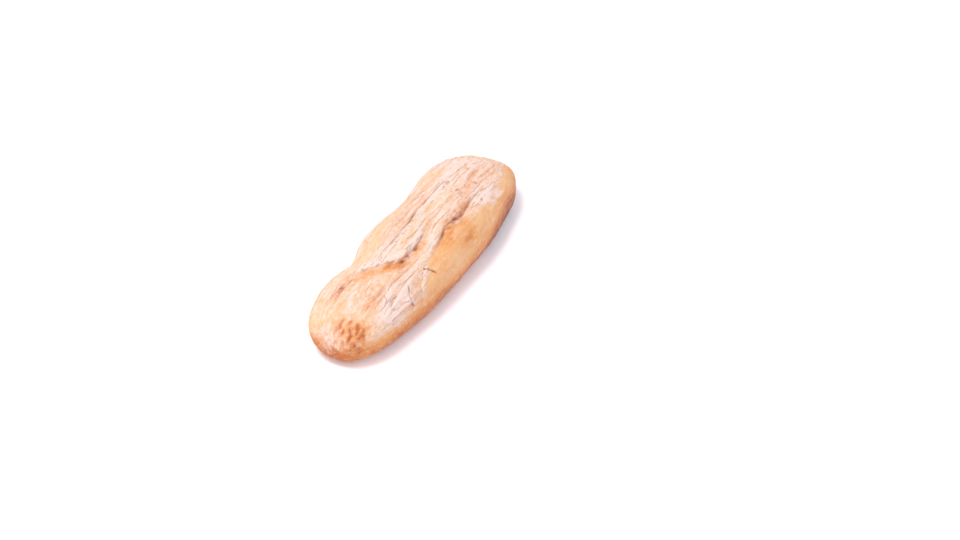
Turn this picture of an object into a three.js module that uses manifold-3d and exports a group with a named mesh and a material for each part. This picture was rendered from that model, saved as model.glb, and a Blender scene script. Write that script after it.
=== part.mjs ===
// A whole ciabatta, one long loaf baked in one piece on a flat stone.
// Millimetres, +Z up. The loaf lies along X and rests on the XY plane, and the origin is
// the middle of its bounding box, on the stone.
import * as THREE from 'three';
import { mergeVertices } from 'three/addons/utils/BufferGeometryUtils.js';
import Module from 'manifold-3d';

// Driving dimensions.
const LENGTH = 320;
const HEIGHT = 57;
const BELLY_SHARE = 0.36; // the sides bulge furthest at this share of the height
const END_BLUNTNESS = 2.7; // seen from above: 2 would make elliptical ends, and more makes them blunter
const CROWN_BLUNTNESS = 2.35; // the same, seen from the side
const SECTION_ROUNDNESS = 0.85; // 1 would make an elliptical section, and less a boxier one
const UNDERCUT = 1.25; // how far the belly's lower curve would reach if no stone cut it off
const UNDERSIDE_BLUNTNESS = 0.5; // the underside stays down until close to the ends
const RINGS = 60; // facets along the loaf
const SECTORS = 64; // facets around it
const WELD_DISTANCE = 1e-3; // corners closer than this are one corner

// How far the dough spread to the left (+Y) and right (-Y) of the line that it was stretched
// along, and how high it rose, at stations along the loaf as shares of its half length.
const STATIONS = [
  { at: -1.0, left: 70, right: 45, crown: 0.96 },
  { at: -0.8, left: 60, right: 45, crown: 0.99 },
  { at: -0.6, left: 54, right: 44, crown: 1.0 },
  { at: -0.4, left: 44, right: 46, crown: 0.96 },
  { at: -0.2, left: 50, right: 47, crown: 0.97 },
  { at: 0.0, left: 48, right: 48, crown: 1.0 },
  { at: 0.2, left: 45, right: 49, crown: 1.0 },
  { at: 0.4, left: 49, right: 49, crown: 0.98 },
  { at: 0.6, left: 57, right: 48, crown: 0.98 },
  { at: 0.8, left: 62, right: 49, crown: 0.99 },
  { at: 1.0, left: 59, right: 48, crown: 0.96 },
];

// Creases where the slack dough was folded over itself, as seen from above. Each is a valley
// whose sides ease out over its reach.
const FOLDS = [
  { depth: 2.6, reach: 6, route: [[64, 7], [40, 12], [9, 10], [-24, 9], [-48, 14]] },
  {
    depth: 4.0,
    reach: 8,
    route: [[-128, 26], [-100, 21], [-78, 4], [-58, -14], [-30, -15], [2, -10], [30, -4]],
  },
  { depth: 3.0, reach: 7, route: [[82, -14], [54, -24], [20, -24], [-14, -28], [-48, -33], [-80, -40]] },
  { depth: 2.2, reach: 6, route: [[116, 26], [84, 30], [50, 34], [16, 33], [-8, 37]] },
];
const FOLD_SAMPLES = 48;
const SAMPLES_PER_EASE = 8; // a valley reaches its full depth this many samples in from its ends

const signedPower = (value, power) => Math.sign(value) * Math.abs(value) ** power;

// The share of its full width or height that the loaf has at a share of its half length.
const endTaper = (along, bluntness) =>
  Math.max(0, 1 - Math.abs(along) ** bluntness) ** (1 / bluntness);

const VALUES_PER_STATION = 3;
const spread = new THREE.CubicInterpolant(
  STATIONS.map((s) => s.at),
  STATIONS.flatMap((s) => [s.left, s.right, s.crown]),
  VALUES_PER_STATION,
);

const valleys = FOLDS.map(({ depth, reach, route }) => {
  const curve = new THREE.SplineCurve(route.map(([x, y]) => new THREE.Vector2(x, y)));
  return { depth, reach, points: curve.getSpacedPoints(FOLD_SAMPLES) };
});

// How far the crust lies below the plain form at a place seen from above.
function creaseDepth(x, y) {
  const here = new THREE.Vector2(x, y);
  return valleys.reduce((deepest, { depth, reach, points }) => {
    const depths = points.map((p, i) => {
      const ease = Math.min(1, Math.min(i, FOLD_SAMPLES - i) / SAMPLES_PER_EASE);
      return depth * ease * Math.exp(-((here.distanceTo(p) / reach) ** 2));
    });
    return Math.max(deepest, ...depths);
  }, 0);
}

// Moves a point of the unit sphere, whose poles are the loaf's two ends, to the crust.
function toCrust(point) {
  const along = THREE.MathUtils.clamp(point.x, -1, 1);
  const around = Math.atan2(point.z, point.y);
  const taper = endTaper(along, END_BLUNTNESS);
  const [left, right, crown] = spread.evaluate(along);

  const belly = BELLY_SHARE * HEIGHT;
  const side = signedPower(Math.cos(around), SECTION_ROUNDNESS);
  const lift = Math.abs(Math.sin(around)) ** SECTION_ROUNDNESS;
  const x = (along * LENGTH) / 2;
  const y = side * taper * (side > 0 ? left : right);
  if (Math.sin(around) < 0) {
    return point.set(x, y, belly - UNDERCUT * belly * taper ** UNDERSIDE_BLUNTNESS * lift);
  }
  const z = belly + (HEIGHT * crown - belly) * endTaper(along, CROWN_BLUNTNESS) * lift;
  const sink = creaseDepth(x, y) * taper * lift;
  return point.set(x, y - side * sink, z - lift * sink);
}

// The loaf before the stone flattens it.
function doughForm() {
  const form = new THREE.SphereGeometry(1, SECTORS, RINGS).rotateZ(Math.PI / 2);
  const points = form.getAttribute('position');
  const point = new THREE.Vector3();
  for (let i = 0; i < points.count; i += 1) {
    toCrust(point.fromBufferAttribute(points, i));
    points.setXYZ(i, point.x, point.y, point.z);
  }
  return form;
}

// The slab that the loaf bakes on, whose top is the XY plane.
function bakingStone() {
  const thickness = HEIGHT;
  return new THREE.BoxGeometry(2 * LENGTH, LENGTH, thickness).translate(0, 0, -thickness / 2);
}

const wasm = await Module();
wasm.setup();

function toSolid(geometry) {
  const bare = geometry.clone().deleteAttribute('normal').deleteAttribute('uv');
  const merged = mergeVertices(bare, WELD_DISTANCE);
  return new wasm.Manifold(new wasm.Mesh({
    numProp: 3,
    vertProperties: new Float32Array(merged.getAttribute('position').array),
    triVerts: new Uint32Array(merged.index.array),
  }));
}

function toGeometry(solid) {
  const { vertProperties, triVerts } = solid.getMesh();
  const geometry = new THREE.BufferGeometry();
  geometry.setAttribute('position', new THREE.BufferAttribute(vertProperties, 3));
  geometry.setIndex(new THREE.BufferAttribute(triVerts, 1));
  geometry.computeVertexNormals();
  return geometry;
}

function bakedLoaf() {
  const geometry = toGeometry(toSolid(doughForm()).subtract(toSolid(bakingStone())));
  geometry.computeBoundingBox();
  const middle = geometry.boundingBox.getCenter(new THREE.Vector3());
  geometry.translate(-middle.x, -middle.y, 0);
  const crust = new THREE.MeshStandardMaterial({ color: 0xe3b57e, roughness: 0.85, metalness: 0 });
  const mesh = new THREE.Mesh(geometry, crust);
  mesh.name = 'loaf';
  return mesh;
}

const ciabatta = new THREE.Group();
ciabatta.add(bakedLoaf());

export default ciabatta;
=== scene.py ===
import math

import bmesh
import bpy
import numpy as np
from mathutils import Matrix, Vector, noise
from mathutils.bvhtree import BVHTree


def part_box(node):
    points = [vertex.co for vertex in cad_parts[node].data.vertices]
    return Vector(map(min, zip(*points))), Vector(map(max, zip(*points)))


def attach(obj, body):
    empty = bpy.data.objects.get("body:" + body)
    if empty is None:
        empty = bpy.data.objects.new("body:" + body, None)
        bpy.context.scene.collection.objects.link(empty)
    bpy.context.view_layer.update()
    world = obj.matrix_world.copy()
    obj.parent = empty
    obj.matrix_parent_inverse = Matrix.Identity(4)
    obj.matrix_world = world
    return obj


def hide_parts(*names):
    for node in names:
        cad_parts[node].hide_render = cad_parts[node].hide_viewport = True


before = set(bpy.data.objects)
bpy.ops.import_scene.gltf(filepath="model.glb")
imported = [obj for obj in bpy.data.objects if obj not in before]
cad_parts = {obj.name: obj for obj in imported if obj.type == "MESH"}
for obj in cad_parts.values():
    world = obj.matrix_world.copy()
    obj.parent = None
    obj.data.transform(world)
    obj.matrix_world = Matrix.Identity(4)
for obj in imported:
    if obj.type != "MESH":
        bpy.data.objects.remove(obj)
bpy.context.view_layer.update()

halfLength, _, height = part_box("loaf")[1]
mm = 0.001
scene = bpy.context.scene

# A place on the crust is (share of the half length, degrees round the section). The degrees
# go from 0 at the left flank (+Y) over the crown at 90 to 180 at the right flank (-Y).
hubHeight = 0.355 * height  # the section's angles are measured round this line

# How the loaf is sculpted. Lengths are in mm.
loaf = {
    "pointSpacing": 1.03,
    "smoothing": 5,
    "offStone": (0.4, 6.0),  # heights over the stone from and to which the sculpting comes in
    "swell": (1.5, 34, 2.2),  # height, size across and stretch lengthwise of the slow rises
    "knead": (0.75, 12, 2.6),
    "ridge": (1.0, 9.0, 7.0),  # broad lengthwise ridges of the stretched skin
    "wrinkle": (0.50, 4.2, 5.5),  # the finer wrinkles between them
    "grain": (0.16, 2.2, 1.5),
    "blister": (0.55, 8.5, 1.3),
    "blisterEdge": (0.30, 0.75),  # a blister's foot and top as levels of its noise
    "soleDents": (0.7, 9, 1.0),
    "dentEdge": 0.15,
    "wrinkleOnBare": 0.15,  # how wrinkled the bare crust is, against 1 for thickly floured skin
}

# What all folds have in common.
foldForm = {
    "reach": 4,  # how far along the loaf from its route a fold is worked out, in lip widths
    "wander": 0.6,  # how far the slit strays sideways, in widths
    "fade": 0.22,  # the share of a fold's length over which each end fades
    "runOn": (2, 2),  # how far a fold runs on past its ends, in widths and in mm besides
    "waver": (0.85, 0.2),  # its mean strength, and how much that varies along it
    "waves": (23, 2.1),  # how fast that varies, and how far it is shifted from fold to fold
    "lipAt": 0.8,  # how far from the slit the lip is highest, in lip widths
    "hollowAt": (1.1, 1.3),  # how far from it the other side is lowest, and how wide that is
    "hollow": 0.45,  # how far the skin sinks on the lower side, in lip heights
    "lean": 0.75,  # how far the lip leans over the slit, in lip heights
    "brownAndShade": (0.78, 0.70),  # how dark the slit is painted, partly browner bare crust and partly painted shade in the recess, and how much that varies
    "bared": 0.5,  # how much flour the lower side lacks, on deeply baked folds
    "deepBake": 0.2,  # folds baked more than this are deeply baked
    "slitBake": 0.6,  # how baked the slit is, against 1 beside it
}

# Folds where the slack dough lay over itself. The lip is the side that lies on top, +1 for the
# side that is further round and -1 for the other.
folds = {
    "crownLeft": {
        "route": [(0.68, 71), (0.50, 70), (0.40, 69), (0.28, 69), (0.16, 71), (0.05, 72), (-0.05, 73),
                  (-0.15, 73), (-0.26, 71), (-0.33, 68)],
        "depth": 2.1, "width": 1.15, "lip": -1, "lipHeight": 1.0, "lipWidth": 4.2, "dark": 1.0,
        "lipFlour": 0.40, "bake": 0.12,
    },
    "crownOuter": {
        "route": [(0.30, 57), (0.16, 54), (0.02, 55), (-0.10, 54)],
        "depth": 1.0, "width": 1.0, "lip": -1, "lipHeight": 0.5, "lipWidth": 3.0, "dark": 0.5,
        "lipFlour": 0.15, "bake": 0.06,
    },
    "waist": {
        "route": [(-0.63, 43), (-0.56, 53), (-0.47, 70), (-0.405, 86), (-0.36, 99), (-0.30, 107),
                  (-0.21, 110), (-0.12, 108), (-0.04, 104), (0.04, 100)],
        "depth": 1.4, "width": 1.1, "lip": 1, "lipHeight": 0.85, "lipWidth": 4.6, "dark": 0.70,
        "lipFlour": 0.60, "bake": 0.21,
    },
    "waistTail": {
        "route": [(0.10, 92), (0.0, 94), (-0.10, 95), (-0.20, 92), (-0.28, 86)],
        "depth": 1.1, "width": 1.0, "lip": 1, "lipHeight": 0.6, "lipWidth": 3.0, "dark": 0.5,
        "lipFlour": 0.25, "bake": 0.08,
    },
    "bulbStreak": {
        "route": [(-0.81, 39), (-0.75, 42), (-0.69, 46), (-0.62, 51), (-0.55, 57)],
        "depth": 1.0, "width": 1.3, "lip": 1, "lipHeight": 0.5, "lipWidth": 3.2, "dark": 0.40,
        "lipFlour": 0.15, "bake": 0.20,
    },
    "bulbFanA": {
        "route": [(-0.30, 127), (-0.42, 123), (-0.55, 121), (-0.68, 124), (-0.80, 130)],
        "depth": 1.0, "width": 1.0, "lip": -1, "lipHeight": 0.5, "lipWidth": 3.4, "dark": 0.5,
        "lipFlour": 0.20, "bake": 0.15,
    },
    "bulbFanB": {
        "route": [(-0.36, 134), (-0.46, 133), (-0.58, 135), (-0.70, 140), (-0.80, 147)],
        "depth": 0.9, "width": 1.0, "lip": -1, "lipHeight": 0.5, "lipWidth": 3.2, "dark": 0.55,
        "lipFlour": 0.25, "bake": 0.15,
    },
    "bulbFanC": {
        "route": [(-0.55, 119), (-0.61, 117), (-0.66, 116), (-0.715, 115), (-0.77, 116), (-0.84, 120)],
        "depth": 0.9, "width": 1.3, "lip": -1, "lipHeight": 0.4, "lipWidth": 3.0, "dark": 0.32,
        "lipFlour": 0.10, "bake": 0.12,
    },
    "crownRight": {
        "route": [(0.64, 126), (0.50, 127), (0.40, 127), (0.30, 129), (0.20, 129), (0.13, 125),
                  (0.06, 123), (-0.02, 129), (-0.10, 132), (-0.19, 135), (-0.27, 139)],
        "depth": 1.7, "width": 1.7, "lip": 1, "lipHeight": 0.7, "lipWidth": 5.0, "dark": 0.75,
        "lipFlour": 0.0, "bake": 0.16,
    },
    "skinEdge": {
        "route": [(-0.25, 138), (-0.32, 142), (-0.40, 149), (-0.45, 158), (-0.475, 172)],
        "depth": 1.0, "width": 1.2, "lip": -1, "lipHeight": 1.2, "lipWidth": 3.2, "dark": 0.32,
        "lipFlour": 0.50, "bake": 0.08,
    },
    "bulbRight": {
        "route": [(-0.48, 134), (-0.51, 142), (-0.54, 150), (-0.545, 158), (-0.53, 168)],
        "depth": 1.7, "width": 1.15, "lip": 1, "lipHeight": 0.8, "lipWidth": 3.5, "dark": 0.95,
        "lipFlour": 0.25, "bake": 0.08,
    },
    "flankSlit": {
        "route": [(-0.315, 137), (-0.296, 142), (-0.278, 148), (-0.262, 156)],
        "depth": 1.2, "width": 1.1, "lip": 1, "lipHeight": 0.3, "lipWidth": 2.0, "dark": 1.6,
        "lipFlour": 0.0, "bake": 0.0,
    },
    "rearLeft": {
        "route": [(0.86, 50), (0.70, 54), (0.54, 56), (0.40, 54), (0.26, 50), (0.12, 48)],
        "depth": 1.3, "width": 1.2, "lip": -1, "lipHeight": 0.8, "lipWidth": 4.5, "dark": 0.4,
        "lipFlour": 0.25, "bake": 0.06,
    },
    "rearCrown": {
        "route": [(0.84, 92), (0.70, 96), (0.58, 99), (0.48, 104), (0.38, 108), (0.28, 112)],
        "depth": 1.2, "width": 1.2, "lip": 1, "lipHeight": 0.7, "lipWidth": 4.5, "dark": 0.42,
        "lipFlour": 0.20, "bake": 0.12,
    },
    "rearRight": {
        "route": [(0.88, 117), (0.76, 117), (0.64, 114), (0.52, 111)],
        "depth": 0.9, "width": 1.1, "lip": 1, "lipHeight": 0.5, "lipWidth": 3.4, "dark": 0.45,
        "lipFlour": 0.20, "bake": 0.08,
    },
    "backLong": {
        "route": [(-0.40, 38), (-0.24, 30), (-0.06, 27), (0.12, 30), (0.30, 27), (0.44, 33)],
        "depth": 1.7, "width": 1.4, "lip": 1, "lipHeight": 1.1, "lipWidth": 4.5, "dark": 0.55,
        "lipFlour": 0.35, "bake": 0.10,
    },
    "backRear": {
        "route": [(0.52, 24), (0.64, 31), (0.76, 30), (0.86, 37)],
        "depth": 1.3, "width": 1.3, "lip": -1, "lipHeight": 0.8, "lipWidth": 4.0, "dark": 0.5,
        "lipFlour": 0.25, "bake": 0.08,
    },
}

# Patches with more or less flour and bake: place, size along and across in mm, flour, bake.
patches = [
    ((-0.945, 131), (13, 13), -0.62, 0.44),
    ((-0.88, 137), (9, 7), -0.25, 0.22),
    ((-0.985, 175), (14, 9), 0.26, -0.03),
    ((-0.985, 50), (14, 10), 0.22, 0.0),
    ((-0.91, 88), (10, 9), -0.25, 0.24),
    ((-0.68, 47), (18, 4), -0.35, 0.22),
    ((-0.74, 116), (18, 3.5), -0.28, 0.12),
    ((0.62, 104), (26, 7), -0.22, 0.02),
    ((-0.76, 152), (28, 10), 0.42, -0.10),
    ((-0.62, 138), (24, 9), 0.30, -0.05),
    ((-0.80, 92), (16, 10), 0.12, -0.05),
    ((-0.66, 88), (20, 12), -0.22, 0.10),
    ((-0.40, 97), (14, 5), -0.40, 0.15),
    ((-0.338, 109), (3.6, 2.2), -0.30, 0.50),
    ((-0.288, 111), (3.0, 2.6), -0.30, 0.50),
    ((-0.205, 113), (3.6, 2.4), -0.30, 0.50),
    ((-0.36, 66), (20, 9), 0.25, -0.08),
    ((-0.04, 90), (40, 9), -0.34, -0.05),
    ((-0.22, 80), (15, 5), 0.22, -0.04),
    ((0.22, 96), (40, 8), 0.18, -0.06),
    ((0.09, 111), (24, 6), 0.30, -0.06),
    ((-0.08, 121), (20, 6), 0.36, -0.08),
    ((-0.22, 126), (18, 6), 0.36, -0.08),
    ((0.16, 125), (22, 5.5), -0.60, 0.42),
    ((0.31, 127), (12, 3.5), -0.40, 0.34),
    ((0.30, 138), (14, 6), 0.32, -0.10),
    ((0.47, 136), (24, 9), 0.75, -0.16),
    ((0.56, 68), (26, 11), 0.38, -0.10),
    ((0.78, 72), (20, 12), 0.28, -0.06),
    ((0.36, 99), (15, 6), -0.25, 0.16),
    ((0.72, 112), (26, 13), -0.10, 0.04),
    ((-0.20, 46), (50, 11), -0.20, -0.02),
    ((0.12, 151), (13, 6), -0.1, 0.18),
    ((0.56, 78), (3.5, 2), -0.30, 0.50),
    ((0.70, 73), (3.0, 2), -0.30, 0.45),
    ((0.55, 114), (3.5, 2), -0.30, 0.50),
    ((0.40, 100), (4.0, 2), -0.30, 0.45),
    ((0.65, 88), (3.0, 2), -0.30, 0.45),
    ((0.78, 41), (3.5, 2), -0.30, 0.45),
]

# How flour and bake are spread, from 0 for none to about 1 for thick or deep; on the foot of the right
# flank and the near end the bake is partly painted shade. Heights are in mm over the stone. From is where
# something is still absent, and to is where it is full.
zones = {
    "flour": 0.58,
    "faceUp": (-0.40, 0.78),  # flour lies on skin that faces up, from and to in its normal's z
    "skinFade": (6, -5),  # from and to across the floury skin's edge, in degrees round
    "inland": (1.02, 0.72),  # from and to as shares of the half length
    "flourAtEnds": 0.70,  # the share of the flour that is left at the two ends
    "flourDrift": 0.16,  # how much it varies over broad areas
    "bake": 0.30,
    "bareBake": 0.02,  # what the bare crust has more
    "bakeDrift": (0.09, 0.05),  # how much it varies over broad areas and over small ones
    "side": (21, 0, 0.24),  # from and to of what the stone's heat did to the sides, and its bake
    "flank": (33, 13, 0.34),  # the same on the right flank and the near end, where the darker foot is partly bake and partly painted shade
    "rear": (9, 0.30),  # the height and bake that the far half of the right flank has more, partly painted shade
    "sideOnFlank": 0.7,  # the share of the sides' bake that the flank does without
    "rightward": (12, -38),  # the right flank, from and to in mm
    "nearEnd": (-0.84, -0.98), "farHalf": (0.0, 0.6),  # from and to as shares of the half length
    "sole": (1.2, 0.3),  # the underside, from and to as heights
    "soleFlour": (0.30, 0.55), "soleBake": (0.60, 0.25),  # the mean, and how much it varies
}

# How far uneven areas move the edges of these zones, in the edges' own units.
raggedness = {
    "faceUp": (0.42, 0.30),  # by small areas and by broad ones
    "skinFade": 6, "inland": 0.12, "side": 3, "flank": 4,
    "patch": 0.7,
    "broken": (0.75, 0.75),  # a patch's mean strength, and how much it varies
}

# The uneven areas: size across in mm, how much longer they are along the loaf, and seed.
noises = {
    "wander": (9, 1.6, 3),
    "patchy": (7, 1.4, 4),
    "ragged": (9, 2.5, 5),
    "broken": (3.6, 1.8, 6),
    "broad": (21, 1.5, 12),
    "soleFlour": (8, 1.4, 13),
    "soleBake": (15, 1.2, 14),
}

# Where the floury skin ends on the right flank, in degrees round, along the loaf.
skinEnd = {"along": [-1.0, -0.8, -0.56, -0.50, -0.45, -0.25, -0.04, 0.2, 0.4, 0.6, 0.8, 1.0],
           "round": [172, 174, 170, 166, 158, 138, 127, 133, 143, 146, 142, 140]}


def smoothStep(edge0, edge1, value):
    t = np.clip((value - edge0) / (edge1 - edge0), 0, 1)
    return t * t * (3 - 2 * t)


# Perlin noise at points in mm, from about -1 to 1, drawn out lengthwise by stretch. Each seed
# looks at another part of the noise.
def skinNoise(points, size, stretch, seed):
    scaled = points / (np.array([stretch, 1, 1]) * size) + np.array([17.3, 5.1, 9.7]) * (seed + 1)
    return np.array([noise.noise(p) for p in scaled.tolist()])


# A smooth (Catmull-Rom) curve through points, with this many steps from each to the next.
def curveThrough(points, steps):
    ends = [2 * points[0] - points[1], 2 * points[-1] - points[-2]]
    knots = np.array([ends[0], *points, ends[1]])
    drawn = []
    for k in range(1, len(knots) - 2):
        a, b, c, d = knots[k - 1:k + 3]
        for t in np.arange(steps) / steps:
            drawn.append(0.5 * (2 * b + (c - a) * t + (2 * a - 5 * b + 4 * c - d) * t * t
                                + (3 * b - a - 3 * c + d) * t ** 3))
    return np.array([*drawn, knots[-2]])


# The places of a route on the skin: positions and normals, in mm.
def layOnSkin(route, skin, steps=12):
    places, normals = [], []
    for along, degrees in curveThrough([np.array(p, float) for p in route], steps):
        turn = math.radians(degrees)
        hub = Vector((along * halfLength / mm, 0, hubHeight / mm))
        hit, normal, _, _ = skin.ray_cast(hub, Vector((0, math.cos(turn), math.sin(turn))))
        if hit:
            places.append(hit)
            normals.append(normal)
    return np.array(places), np.array(normals)


def newObject(name, data):
    made = bpy.data.objects.new(name, data)
    scene.collection.objects.link(made)
    return made


def applyModifiers(piece):
    graph = bpy.context.evaluated_depsgraph_get()
    done = bpy.data.meshes.new_from_object(piece.evaluated_get(graph))
    piece.modifiers.clear()
    piece.data = done


def doughBlank():
    bm = bmesh.new()
    bm.from_mesh(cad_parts["loaf"].data)
    bmesh.ops.remove_doubles(bm, verts=bm.verts, dist=0.01 * mm)
    mesh = bpy.data.meshes.new("crustLoaf")
    bm.to_mesh(mesh)
    bm.free()
    piece = newObject("crustLoaf", mesh)
    remesh = piece.modifiers.new("even", "REMESH")
    remesh.mode = "VOXEL"
    remesh.voxel_size = loaf["pointSpacing"] * mm
    applyModifiers(piece)
    return piece


def relax(mesh, rounds):
    bm = bmesh.new()
    bm.from_mesh(mesh)
    for _ in range(rounds):
        bmesh.ops.smooth_vert(bm, verts=bm.verts, factor=0.5, use_axis_x=True,
                              use_axis_y=True, use_axis_z=True)
    bm.to_mesh(mesh)
    bm.free()


def readPoints(mesh):
    points = np.empty(len(mesh.vertices) * 3)
    normals = np.empty(len(mesh.vertices) * 3)
    mesh.vertices.foreach_get("co", points)
    mesh.vertex_normals.foreach_get("vector", normals)
    return points.reshape(-1, 3) / mm, normals.reshape(-1, 3)


def writePoints(mesh, points):
    mesh.vertices.foreach_set("co", (points * mm).ravel())
    mesh.update()


def writeAttribute(mesh, name, values):
    layer = mesh.attributes.new(name, "FLOAT", "POINT")
    layer.data.foreach_set("value", np.clip(values, 0, 1).astype(np.float32))


# Presses every fold into the skin, and says what each leaves behind in colour, including painted shade in
# its slit.
def pressFolds(points, normals, skin):
    moved = np.zeros_like(points)
    marks = {name: np.zeros(len(points)) for name in ("crease", "flour", "bake")}
    wander = skinNoise(points, *noises["wander"])
    patchy = skinNoise(points, *noises["patchy"])
    (runWidths, runOn), (lowAt, lowSpan) = foldForm["runOn"], foldForm["hollowAt"]
    (mean, waver), (waves, shifted) = foldForm["waver"], foldForm["waves"]
    plainBrownAndShade, variedBrownAndShade = foldForm["brownAndShade"]
    for number, fold in enumerate(folds.values()):
        width, lipWidth, lipHeight = fold["width"], fold["lipWidth"], fold["lipHeight"]
        places, facing = layOnSkin(fold["route"], skin)
        ahead = np.gradient(places, axis=0)
        ahead /= np.linalg.norm(ahead, axis=1)[:, None]
        across = np.cross(facing, ahead)
        across *= np.sign((np.cross(facing, [1, 0, 0]) * across).sum(1))[:, None]
        reach = foldForm["reach"] * lipWidth
        near = np.flatnonzero((points[:, 0] > places[:, 0].min() - reach)
                              & (points[:, 0] < places[:, 0].max() + reach))
        gaps = ((points[near, None, :] - places[None, :, :]) ** 2).sum(2)
        closest = gaps.argmin(1)
        away = points[near] - places[closest]
        side = (away * across[closest]).sum(1) * fold["lip"]
        side += foldForm["wander"] * width * wander[near]

        past = np.sqrt(np.maximum(gaps.min(1) - side ** 2, 0))  # how far beyond the fold's ends
        share = closest / (len(places) - 1)
        ease = smoothStep(0, foldForm["fade"], share) * smoothStep(0, foldForm["fade"], 1 - share)
        ease *= np.exp(-(past / (runWidths * width + runOn)) ** 2)
        ease *= mean + waver * np.sin(share * waves + number * shifted)

        slit = np.exp(-(side / width) ** 2)
        onLip = np.exp(-((side - foldForm["lipAt"] * lipWidth) / lipWidth) ** 2)
        below = np.exp(-((side + lowAt * lipWidth) / (lowSpan * lipWidth)) ** 2)
        rise = lipHeight * (onLip - foldForm["hollow"] * below) - fold["depth"] * slit
        moved[near] += normals[near] * (rise * ease)[:, None]
        lean = -foldForm["lean"] * lipHeight * fold["lip"] * onLip * ease
        moved[near] += across[closest] * lean[:, None]

        # The slit's darkening: partly browner bare crust, partly painted shade in the recess.
        brownAndShade = fold["dark"] * (plainBrownAndShade + variedBrownAndShade * patchy[near])
        bared = foldForm["bared"] * below * (fold["bake"] > foldForm["deepBake"])
        marks["crease"][near] = np.maximum(marks["crease"][near], brownAndShade * slit * ease)
        marks["flour"][near] += (fold["lipFlour"] * onLip - bared) * ease
        marks["bake"][near] += fold["bake"] * (below + foldForm["slitBake"] * slit) * ease
    return moved, marks


# How thickly each point is floured, and how deeply it is baked, with painted shade darkening the foot of
# the right flank and the near end.
def dustBakeAndShade(points, normals, skin, marks, sole):
    along = points[:, 0] / (halfLength / mm)
    up = points[:, 2]
    degrees = np.degrees(np.arctan2(up - hubHeight / mm, points[:, 1]))
    degrees = np.where(degrees < -90, degrees + 360, degrees)
    ragged = skinNoise(points, *noises["ragged"])
    broad = skinNoise(points, *noises["broad"])

    edge = np.interp(along, skinEnd["along"], skinEnd["round"])
    bySmall, byBroad = raggedness["faceUp"]
    facingUp = smoothStep(*zones["faceUp"], normals[:, 2] + bySmall * ragged + byBroad * broad)
    floury = smoothStep(*zones["skinFade"], degrees + raggedness["skinFade"] * ragged - edge)
    floury *= facingUp
    inland = smoothStep(*zones["inland"], np.abs(along) + raggedness["inland"] * ragged)
    atEnds = zones["flourAtEnds"]
    flour = zones["flour"] * floury * (atEnds + (1 - atEnds) * inland)
    flour += zones["flourDrift"] * broad + marks["flour"]

    broadDrift, smallDrift = zones["bakeDrift"]
    bake = zones["bake"] + zones["bareBake"] * (1 - floury) + marks["bake"]
    bake += broadDrift * broad + smallDrift * ragged
    rightward = smoothStep(*zones["rightward"], points[:, 1])
    shaded = np.maximum(rightward, smoothStep(*zones["nearEnd"], along))
    rearward = smoothStep(*zones["farHalf"], along)
    top, foot, deep = zones["side"]
    band = smoothStep(top, foot, up + raggedness["side"] * ragged)
    bake += deep * (1 - zones["sideOnFlank"] * shaded) * band
    # Painted shade, partly real bake: the right flank and the near end darken towards the foot, and the
    # far half of the right flank higher up and more.
    (top, foot, deep), (moreTop, moreBakeAndShade) = zones["flank"], zones["rear"]
    band = smoothStep(top + moreTop * rearward, foot, up + raggedness["flank"] * ragged)
    bake += (deep + moreBakeAndShade * rearward) * shaded * band

    mean, varied = raggedness["broken"]
    broken = mean + varied * skinNoise(points, *noises["broken"])
    for place, (length, breadth), dust, brown in patches:
        spot, _ = layOnSkin([place, place], skin, 1)
        gap = points - spot[0]
        spread = (gap[:, 0] / length) ** 2 + (np.hypot(gap[:, 1], gap[:, 2]) / breadth) ** 2
        nearSpot = np.exp(-spread * (1 + raggedness["patch"] * ragged)) * broken
        flour += dust * nearSpot
        bake += brown * nearSpot

    mean, varied = zones["soleFlour"]
    flour += sole * (mean + varied * skinNoise(points, *noises["soleFlour"]))
    mean, varied = zones["soleBake"]
    bake += sole * (mean + varied * skinNoise(points, *noises["soleBake"]) - bake)
    return flour, bake


# The fine relief: wrinkles where the skin is floured, blisters where it is bare, and dents in
# the underside.
def wrinkleSkin(points, normals, flour, offStone, sole):
    onBare = loaf["wrinkleOnBare"]
    wrinkled = np.clip(flour, 0, 1) * (1 - onBare) + onBare
    fine = np.zeros(len(points))
    for seed, name in ((10, "ridge"), (7, "wrinkle")):
        rise, size, stretch = loaf[name]
        fine += rise * (0.5 - 2 * np.abs(skinNoise(points, size, stretch, seed))) * wrinkled
    rise, size, stretch = loaf["grain"]
    fine += rise * skinNoise(points, size, stretch, 8)
    rise, size, stretch = loaf["blister"]
    blisters = smoothStep(*loaf["blisterEdge"], skinNoise(points, size, stretch, 11))
    fine += rise * blisters * (1 + onBare - wrinkled)
    points += normals * (fine * offStone)[:, None]

    rise, size, stretch = loaf["soleDents"]
    dents = np.clip(skinNoise(points, size, stretch, 9) - loaf["dentEdge"], 0, 1)
    points[:, 2] += rise * dents * sole
    points[:, 2] = np.maximum(points[:, 2], 0)


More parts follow.
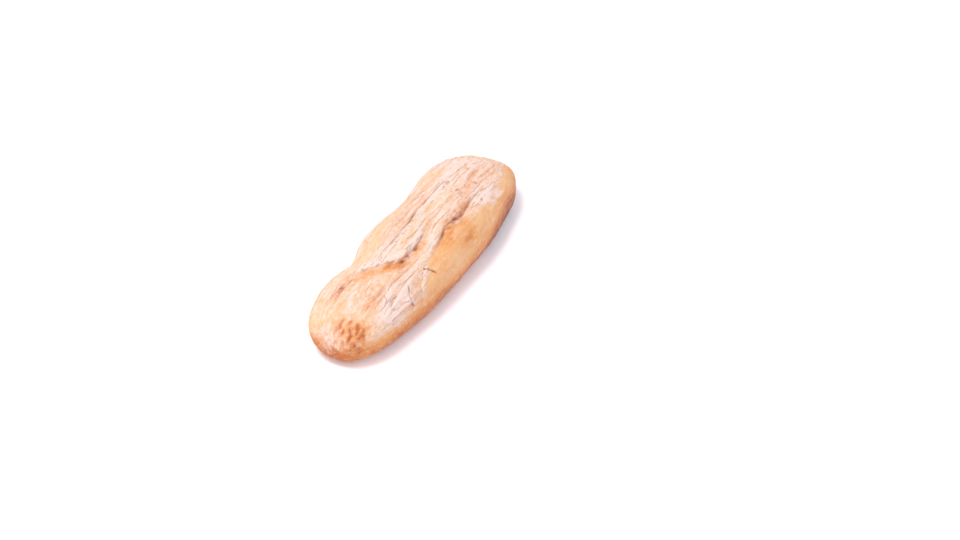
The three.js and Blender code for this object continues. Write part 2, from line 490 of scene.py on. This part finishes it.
def sculptLoaf():
    piece = doughBlank()
    mesh = piece.data
    relax(mesh, loaf["smoothing"])
    points, normals = readPoints(mesh)
    print("dough:", len(points), "points")

    offStone = smoothStep(*loaf["offStone"], points[:, 2])
    for seed, name in enumerate(("swell", "knead")):
        rise, size, stretch = loaf[name]
        points += normals * (rise * skinNoise(points, size, stretch, seed) * offStone)[:, None]
    writePoints(mesh, points)
    points, normals = readPoints(mesh)

    skin = BVHTree.FromPolygons(points.tolist(), [tuple(f.vertices) for f in mesh.polygons])
    moved, marks = pressFolds(points, normals, skin)
    points += moved * offStone[:, None]
    print("folds pressed:", len(folds))

    sole = smoothStep(*zones["sole"], points[:, 2])
    flour, bake = dustBakeAndShade(points, normals, skin, marks, sole)
    print("flour and bake laid on, with", len(patches), "patches")
    wrinkleSkin(points, normals, flour, offStone, sole)
    writePoints(mesh, points)

    # The bake attribute also holds painted shade on the foot of the right flank and the near end, and the
    # crease attribute painted shade in the slits.
    writeAttribute(mesh, "flour", flour)
    writeAttribute(mesh, "bake", bake)
    writeAttribute(mesh, "crease", marks["crease"])
    writeAttribute(mesh, "drawn", 1 - 1.6 * normals[:, 0] ** 2)  # hairlines fade on the end faces
    mesh.polygons.foreach_set("use_smooth", [True] * len(mesh.polygons))
    print("crust:", len(mesh.polygons), "faces")
    return piece


def linear(hexColour):
    channels = [int(hexColour[k:k + 2], 16) / 255 for k in (1, 3, 5)]
    return [c / 12.92 if c <= 0.04045 else ((c + 0.055) / 1.055) ** 2.4 for c in channels] + [1]


# A texture's scale for features of this many mm.
def perMm(size):
    return 1 / (size * mm)


# Adds a node with its settings, and with its inputs as values or as links from other nodes.
def addNode(tree, kind, settings, inputs):
    node = tree.nodes.new(kind)
    for name, value in settings.items():
        if name != "stops":
            setattr(node, name, value)
    for key, value in inputs.items():
        if isinstance(value, bpy.types.NodeSocket):
            tree.links.new(value, node.inputs[key])
        else:
            node.inputs[key].default_value = value
    for number, (place, colour) in enumerate(settings.get("stops", [])):
        if number >= len(node.color_ramp.elements):
            node.color_ramp.elements.new(place)
        node.color_ramp.elements[number].position = place
        node.color_ramp.elements[number].color = linear(colour)
    return node


def newMaterial(name):
    material = bpy.data.materials.new(name)
    material.use_nodes = True
    material.node_tree.nodes.clear()
    return material, material.node_tree


# Sizes are in mm. The weights in dust, brown and relief say how strongly each texture acts. The
# noises are centred on 0.5, and line and cover go from 0 to 1.
crustLook = {
    "bake": [(0.0, "#e2c8a8"), (0.22, "#e0b585"), (0.46, "#d7975b"), (0.70, "#b06234"),
             (1.0, "#643418")],  # crust from pale to deeply baked, which also colours the painted shade on the foot of the right flank and the near end
    "flour": "#e0cec6",
    # The crease colour: in the slits partly browner bare crust and partly painted shade, and in the
    # hairlines crust showing through cracked flour.
    "crease": "#925a28",
    "creaseRange": (0.15, 0.95),  # creases below the first are not darkened, and over the second fully
    "creaseCover": 0.85,
    "veil": 0.60,  # how much a streak of flour hides of the crust under it
    "haze": 0.32,  # how much the thin dusting between the streaks hides
    "sway": (18, 5),  # size of the swirls that bend the textures, and how far they bend them
    "streak": (3.0, 9.0),  # width, and how much longer they are than wide
    "mottle": 4.4,
    "powder": 1.3,
    "hairline": (9.0, 11.0),  # spacing, and how much longer they are than that
    "hairlineEdge": 0.040,  # half their width, as levels of their noise
    "hairlineShown": (0.42, 0.56),  # levels of mottle between which they come in
    "hairlineCover": 0.46,
    "dust": {"streak": 2.1, "mottle": 1.7, "powder": 0.7, "line": -0.45},
    "dustRange": (2.32, 3.22),  # the same for streaks of flour
    "brown": {"mottle": -0.34, "streak": -0.26, "powder": 0.14},
    "brownLift": 0.21,  # brings the mean of those three back to about 0
    "relief": {"cover": 0.22, "mottle": 0.5, "powder": 0.20, "line": -0.6},
    "reliefHeight": 1.3, "reliefStrength": 0.85,
    "roughness": (0.52, 0.95),  # satin on bare crust, dry on thick flour
}


# Wheat crust baked on stone, still dusted with the flour that it was proved in: the baked
# part is golden and faintly satin, and the flour lies on it as a dry, pale and streaky veil.
# Its bake and crease colours also hold painted shade: on the foot of the right flank and the near end, and
# in the slits.
def flouredCrust():
    material, tree = newMaterial("flouredWheatCrust")
    place = addNode(tree, "ShaderNodeTexCoord", {}, {}).outputs["Object"]
    attribute = {}
    for name in ("flour", "bake", "crease", "drawn"):
        attribute[name] = addNode(tree, "ShaderNodeAttribute", {"attribute_name": name}, {}).outputs["Fac"]
    swirl, bend = crustLook["sway"]
    sway = addNode(tree, "ShaderNodeTexNoise", {}, {
        "Vector": place, "Scale": perMm(swirl), "Detail": 2.0})
    centred = addNode(tree, "ShaderNodeVectorMath", {"operation": "SUBTRACT"},
                      {0: sway.outputs["Color"], 1: (0.5, 0.5, 0.5)})
    shift = addNode(tree, "ShaderNodeVectorMath", {"operation": "SCALE"},
                    {0: centred.outputs[0], "Scale": bend * mm})
    swayed = addNode(tree, "ShaderNodeVectorMath", {"operation": "ADD"},
                     {0: place, 1: shift.outputs[0]}).outputs[0]

    texture = {}
    width, longer = crustLook["streak"]
    drawn = addNode(tree, "ShaderNodeMapping", {}, {"Vector": swayed, "Scale": (1 / longer, 1, 1)})
    for name, vector, size, detail, roughness in (
            ("streak", drawn.outputs[0], width, 4.0, 0.60),
            ("mottle", swayed, crustLook["mottle"], 4.0, 0.62),
            ("powder", place, crustLook["powder"], 3.0, 0.50)):
        texture[name] = addNode(tree, "ShaderNodeTexNoise", {}, {
            "Vector": vector, "Scale": perMm(size), "Detail": detail,
            "Roughness": roughness}).outputs["Fac"]

    # Hairlines where the drying skin stretched: the level lines of a drawn-out noise, shown in
    # places and only on floured skin.
    spacing, longer = crustLook["hairline"]
    drawn = addNode(tree, "ShaderNodeMapping", {}, {"Vector": swayed, "Scale": (1 / longer, 1, 1)})
    level = addNode(tree, "ShaderNodeTexNoise", {}, {
        "Vector": drawn.outputs[0], "Scale": perMm(spacing), "Detail": 2.0, "Roughness": 0.45})
    off = addNode(tree, "ShaderNodeMath", {"operation": "SUBTRACT"}, {0: level.outputs["Fac"], 1: 0.5})
    off = addNode(tree, "ShaderNodeMath", {"operation": "ABSOLUTE"}, {0: off.outputs[0]})
    line = addNode(tree, "ShaderNodeMapRange", {"interpolation_type": "SMOOTHSTEP"}, {
        "Value": off.outputs[0], "From Max": crustLook["hairlineEdge"], "To Min": 1.0,
        "To Max": 0.0}).outputs[0]
    hidden, plain = crustLook["hairlineShown"]
    shown = addNode(tree, "ShaderNodeMapRange", {"interpolation_type": "SMOOTHSTEP"}, {
        "Value": texture["mottle"], "From Min": hidden, "From Max": plain}).outputs[0]
    for factor in (shown, attribute["flour"], attribute["drawn"]):
        line = addNode(tree, "ShaderNodeMath", {"operation": "MULTIPLY"},
                       {0: line, 1: factor}).outputs[0]
    texture["line"] = line

    # How much flour covers a spot: a streaky veil over a thin haze.
    dust = attribute["flour"]
    for name, weight in crustLook["dust"].items():
        dust = addNode(tree, "ShaderNodeMath", {"operation": "MULTIPLY_ADD"},
                       {0: texture[name], 1: weight, 2: dust}).outputs[0]
    bare, full = crustLook["dustRange"]
    veil = addNode(tree, "ShaderNodeMapRange", {"interpolation_type": "SMOOTHSTEP"}, {
        "Value": dust, "From Min": bare, "From Max": full, "To Max": crustLook["veil"]}).outputs[0]
    cover = addNode(tree, "ShaderNodeMath", {"operation": "MULTIPLY_ADD"},
                    {0: attribute["flour"], 1: crustLook["haze"], 2: veil}).outputs[0]
    texture["cover"] = cover

    brown = attribute["bake"]
    for name, weight in crustLook["brown"].items():
        brown = addNode(tree, "ShaderNodeMath", {"operation": "MULTIPLY_ADD"},
                        {0: texture[name], 1: weight, 2: brown}).outputs[0]
    brown = addNode(tree, "ShaderNodeMath", {"operation": "ADD"},
                    {0: brown, 1: crustLook["brownLift"]})
    crust = addNode(tree, "ShaderNodeValToRGB", {"stops": crustLook["bake"]},
                    {"Fac": brown.outputs[0]}).outputs["Color"]
    floured = addNode(tree, "ShaderNodeMix", {"data_type": "RGBA"},
                      {0: cover, 6: crust, 7: linear(crustLook["flour"])}).outputs[2]
    # Creases and hairlines are mixed towards the crease colour; in the slits that darkening is partly
    # painted shade.
    shallow, deep = crustLook["creaseRange"]
    depth = addNode(tree, "ShaderNodeMapRange", {}, {
        "Value": attribute["crease"], "From Min": shallow, "From Max": deep,
        "To Max": crustLook["creaseCover"]}).outputs[0]
    depth = addNode(tree, "ShaderNodeMath", {"operation": "MULTIPLY_ADD"},
                    {0: line, 1: crustLook["hairlineCover"], 2: depth}).outputs[0]
    colour = addNode(tree, "ShaderNodeMix", {"data_type": "RGBA"},
                     {0: depth, 6: floured, 7: linear(crustLook["crease"])}).outputs[2]

    satin, dry = crustLook["roughness"]
    roughness = addNode(tree, "ShaderNodeMapRange", {}, {
        "Value": cover, "To Min": satin, "To Max": dry}).outputs[0]
    relief = texture["streak"]
    for name, weight in crustLook["relief"].items():
        relief = addNode(tree, "ShaderNodeMath", {"operation": "MULTIPLY_ADD"},
                         {0: texture[name], 1: weight, 2: relief}).outputs[0]
    bump = addNode(tree, "ShaderNodeBump", {}, {
        "Height": relief, "Distance": crustLook["reliefHeight"] * mm,
        "Strength": crustLook["reliefStrength"]})
    shader = addNode(tree, "ShaderNodeBsdfPrincipled", {}, {
        "Base Color": colour, "Roughness": roughness, "Normal": bump.outputs[0], "IOR": 1.45,
        "Specular IOR Level": 0.35})
    addNode(tree, "ShaderNodeOutputMaterial", {}, {"Surface": shader.outputs[0]})
    return material


studio = {
    "elevation": 38, "azimuth": -62.1,  # where the camera stands, in degrees
    "lens": 85, "distance": 2.149,
    "aim": (0, -0.0013, 0),
    "pan": 1.483,  # degrees that the camera turns aside
    "key": {"from": (-0.50, 0.50, 1.90), "size": 0.9, "power": 25.5, "colour": "#fff5e8"},
    "fill": {"from": (-1.5, 0.5, 1.3), "size": 1.8, "power": 3, "colour": "#fff9f3"},
    "sky": ("#f5f2fc", 0.98),
    "floor": "#fbf9fa", "floorHalf": 6,
    "glow": 0.13,  # a little light comes up through the paper, which keeps the shadow pale
}


def aimAt(thing, eye, target, aside=0.0):
    look = (Vector(target) - Vector(eye)).to_track_quat("-Z", "Y").to_matrix().to_4x4()
    thing.location = eye
    thing.rotation_euler = (look @ Matrix.Rotation(math.radians(aside), 4, "Y")).to_euler()


def makeCamera():
    data = bpy.data.cameras.new("camera")
    data.lens = studio["lens"]
    camera = newObject("camera", data)
    a, e = math.radians(studio["azimuth"]), math.radians(studio["elevation"])
    back = Vector((math.sin(a) * math.cos(e), -math.cos(a) * math.cos(e), math.sin(e)))
    target = Vector(studio["aim"])
    aimAt(camera, target + back * studio["distance"], target, -studio["pan"])
    scene.camera = camera


def makeLight(name, recipe):
    data = bpy.data.lights.new(name, "AREA")
    data.shape = "DISK"
    data.size = recipe["size"]
    data.energy = recipe["power"]
    data.color = linear(recipe["colour"])[:3]
    aimAt(newObject(name, data), Vector(recipe["from"]), Vector((0, 0, 0.5 * height)))


def makeStudio():
    makeCamera()
    makeLight("key", studio["key"])
    makeLight("fill", studio["fill"])
    colour, strength = studio["sky"]
    scene.world = bpy.data.worlds.new("studio")
    scene.world.use_nodes = True
    sky = scene.world.node_tree.nodes["Background"]
    sky.inputs["Color"].default_value = linear(colour)
    sky.inputs["Strength"].default_value = strength
    scene.view_settings.view_transform = "Standard"

    bm = bmesh.new()
    bmesh.ops.create_grid(bm, x_segments=1, y_segments=1, size=studio["floorHalf"])
    mesh = bpy.data.meshes.new("floor")
    bm.to_mesh(mesh)
    bm.free()
    floor = newObject("floor", mesh)
    material, tree = newMaterial("whitePaperSweep")
    shader = addNode(tree, "ShaderNodeBsdfPrincipled", {}, {
        "Base Color": linear(studio["floor"]), "Roughness": 0.9, "Specular IOR Level": 0.1,
        "Emission Color": linear(studio["floor"]), "Emission Strength": studio["glow"]})
    addNode(tree, "ShaderNodeOutputMaterial", {}, {"Surface": shader.outputs[0]})
    mesh.materials.append(material)
    print("studio ready")


makeStudio()
loafPiece = sculptLoaf()
loafPiece.data.materials.append(flouredCrust())
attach(loafPiece, "root")
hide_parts("loaf")
